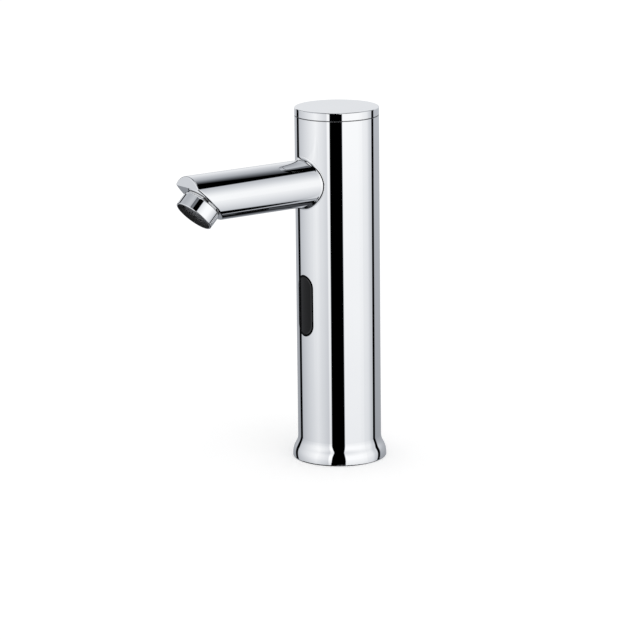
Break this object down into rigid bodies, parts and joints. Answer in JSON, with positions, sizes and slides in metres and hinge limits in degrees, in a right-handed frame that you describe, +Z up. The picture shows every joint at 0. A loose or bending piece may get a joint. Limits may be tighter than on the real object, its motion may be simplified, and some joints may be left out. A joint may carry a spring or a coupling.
{
  "type": "sensor tap",
  "caption": "Touch-free basin tap: chrome column with flared foot, straight spout, slanted outlet with screw-in aerator, dark sensor window and screw-off cap.",
  "frame": {"origin": "on the column's axis where the foot meets the deck, at the mouth of the water inlet", "axes": "+Z up the column, -Y along the spout towards the user, +X to the right of someone who looks along +Y"},
  "size_m": [0.0562, 0.1394, 0.2128],
  "materials": {
    "polished_chrome": "mirror-polished chrome plate on cast brass",
    "raw_brass": "machined",
    "copper_tube": "drawn tube",
    "black_rubber": "moulded",
    "dark_window": "polished, passes infrared",
    "stainless": "plain",
    "white_plastic": "moulded",
    "black_plastic": "moulded",
    "circuit_board": "solder mask",
    "emitter_resin": "clear resin",
    "receiver_resin": "dark resin",
    "lamp_resin": "red resin",
    "battery_sleeve": "printed film, left bare",
    "plated_contact": "nickel plate",
    "lead_sleeve": "sleeve"
  },
  "bodies": {
    "tap": {"column": "polished_chrome", "spout": "polished_chrome", "mounting_block": "raw_brass", "spout_connector": "raw_brass", "valve_body": "raw_brass", "riser_tube": "copper_tube", "base_seal": "black_rubber", "neck_seal": "black_rubber", "riser_seal": "black_rubber", "spout_seal": "black_rubber", "window_gasket": "black_rubber", "window": "dark_window", "guide_tube": "stainless", "coil_clip": "stainless", "bonnet_screws": "stainless", "frame_screws": "stainless", "sensor_screws": "stainless", "spout_screws": "stainless", "inlet_strainer": "stainless", "plunger_spring": "stainless", "piston_spring": "stainless", "check_spring": "stainless", "solenoid_frame": "stainless", "valve_bonnet": "white_plastic", "check_valve_body": "white_plastic", "sensor_housing": "black_plastic", "battery_holder": "black_plastic", "battery_lid": "black_plastic", "solenoid_coil": "black_plastic", "inner_frame": "black_plastic", "sensor_board": "circuit_board", "ir_emitter": "emitter_resin", "ir_receiver": "receiver_resin", "status_light": "lamp_resin", "battery_pack": "battery_sleeve", "battery_contacts": "plated_contact", "battery_lead": "lead_sleeve", "coil_lead": "lead_sleeve"},
    "cap_ring": {"cap_seal": "black_rubber"},
    "cap": {"cap": "polished_chrome"},
    "aerator_ring": {"aerator_washer": "black_rubber"},
    "aerator": {"aerator_housing": "polished_chrome", "aerator_screen": "stainless", "flow_straightener": "white_plastic", "flow_regulator": "white_plastic"},
    "plunger": {"plunger": "stainless", "plunger_tip": "black_rubber"},
    "piston": {"valve_piston": "white_plastic", "piston_seat": "black_rubber"},
    "poppet": {"check_poppet": "white_plastic"}
  },
  "joints": [
    {"name": "cap_lift", "type": "slide", "parent": "tap", "child": "cap_ring", "axis": [0, 0, 1], "range_m": [0, 0.0045]},
    {"name": "cap_turn", "type": "hinge", "parent": "cap_ring", "child": "cap", "pos_m": [0, 0, 0.2], "axis": [0, 0, 1], "range_deg": [0, 1080]},
    {"name": "aerator_drop", "type": "slide", "parent": "tap", "child": "aerator_ring", "axis": [0, -0.7071, -0.7071], "range_m": [0, 0.004]},
    {"name": "aerator_turn", "type": "hinge", "parent": "aerator_ring", "child": "aerator", "pos_m": [0, -0.0964, 0.1663], "axis": [0, -0.7071, -0.7071], "range_deg": [0, 1440]},
    {"name": "plunger_slide", "type": "slide", "parent": "tap", "child": "plunger", "axis": [0, 0, 1], "range_m": [0, 0.0015], "stiffness_N_per_m": 200, "springref_m": -0.001, "deforming": ["plunger_spring"]},
    {"name": "piston_slide", "type": "slide", "parent": "tap", "child": "piston", "axis": [0, 0, 1], "range_m": [0, 0.0015], "stiffness_N_per_m": 100, "springref_m": -0.001, "deforming": ["piston_spring"]},
    {"name": "poppet_slide", "type": "slide", "parent": "tap", "child": "poppet", "axis": [0, 0, 1], "range_m": [0, 0.0025], "stiffness_N_per_m": 60, "springref_m": -0.001, "deforming": ["check_spring"]}
  ],
  "couplings": [
    {"joint": "cap_lift", "follows": "cap_turn", "m_per_rad": 0.00023873},
    {"joint": "aerator_drop", "follows": "aerator_turn", "m_per_rad": 0.00015915},
    {"joint": "piston_slide", "follows": "plunger_slide", "ratio": 1}
  ]
}
